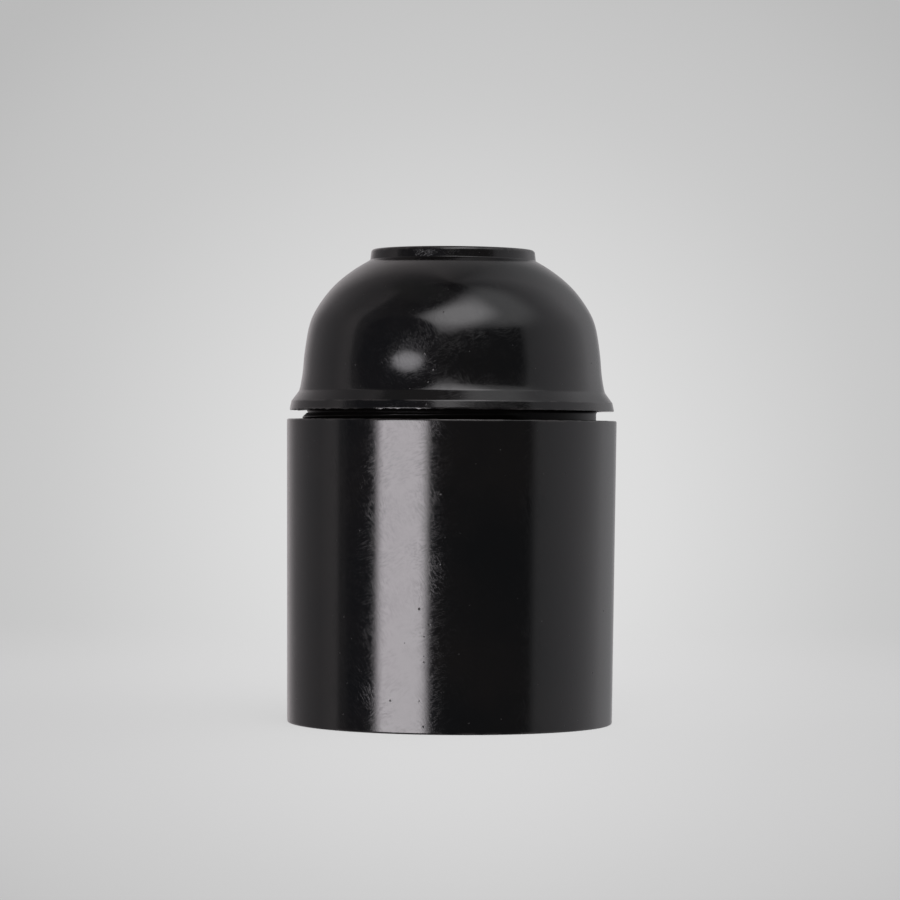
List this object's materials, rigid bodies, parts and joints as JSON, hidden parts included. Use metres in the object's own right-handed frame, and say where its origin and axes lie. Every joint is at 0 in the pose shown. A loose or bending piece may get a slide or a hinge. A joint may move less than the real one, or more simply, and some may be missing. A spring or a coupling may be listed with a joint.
{
  "type": "lamp holder",
  "caption": "Plain-skirt E27 lamp holder of black phenolic: domed cap with a pipe thread on top, unscrewable skirt, ceramic insert with contacts and screw terminals.",
  "frame": {"origin": "centre of the mouth, on the plane of the skirt's lower edge that the holder stands on", "axes": "+Z along the common axis, from the lamp mouth up to the pipe entry; +X to the line terminal; -Y towards the rivets"},
  "size_m": [0.04, 0.04, 0.0573],
  "materials": {
    "bakelite": "polished black phenolic with fine swirl scratches",
    "steatite": "fired, smooth matt",
    "shell_brass": "rolled sheet, slightly dulled",
    "contact_bronze": "spring strip, satin",
    "terminal_brass": "stamped, satin",
    "plated_steel": "zinc plated"
  },
  "bodies": {
    "dome": {"dome_cap": "bakelite", "entry_bush": "plated_steel", "lock_screw": "plated_steel"},
    "insert": {"insert_body": "steatite", "centre_contact": "contact_bronze", "side_contact": "contact_bronze", "line_rivet": "terminal_brass", "neutral_rivet": "terminal_brass", "line_terminal": "terminal_brass", "neutral_terminal": "terminal_brass"},
    "skirt": {"skirt": "bakelite", "thread_shell": "shell_brass"},
    "line_clamp": {"line_clamp": "plated_steel", "line_spring_washer": "plated_steel", "line_screw": "plated_steel"},
    "neutral_clamp": {"neutral_clamp": "plated_steel", "neutral_spring_washer": "plated_steel", "neutral_screw": "plated_steel"}
  },
  "joints": [
    {"name": "insert_drop", "type": "slide", "parent": "dome", "child": "insert", "axis": [0, 0, -1], "range_m": [0, 0.0053]},
    {"name": "skirt_turn", "type": "hinge", "parent": "insert", "child": "skirt", "pos_m": [0, 0, 0.0314], "axis": [0, 0, -1], "range_deg": [0, 1272]},
    {"name": "line_clamp_lift", "type": "slide", "parent": "insert", "child": "line_clamp", "axis": [0, 0, 1], "range_m": [0, 0.0018]},
    {"name": "neutral_clamp_lift", "type": "slide", "parent": "insert", "child": "neutral_clamp", "axis": [0, 0, 1], "range_m": [0, 0.0018]}
  ],
  "couplings": [
    {"joint": "insert_drop", "follows": "skirt_turn", "m_per_rad": 0.00023873}
  ]
}
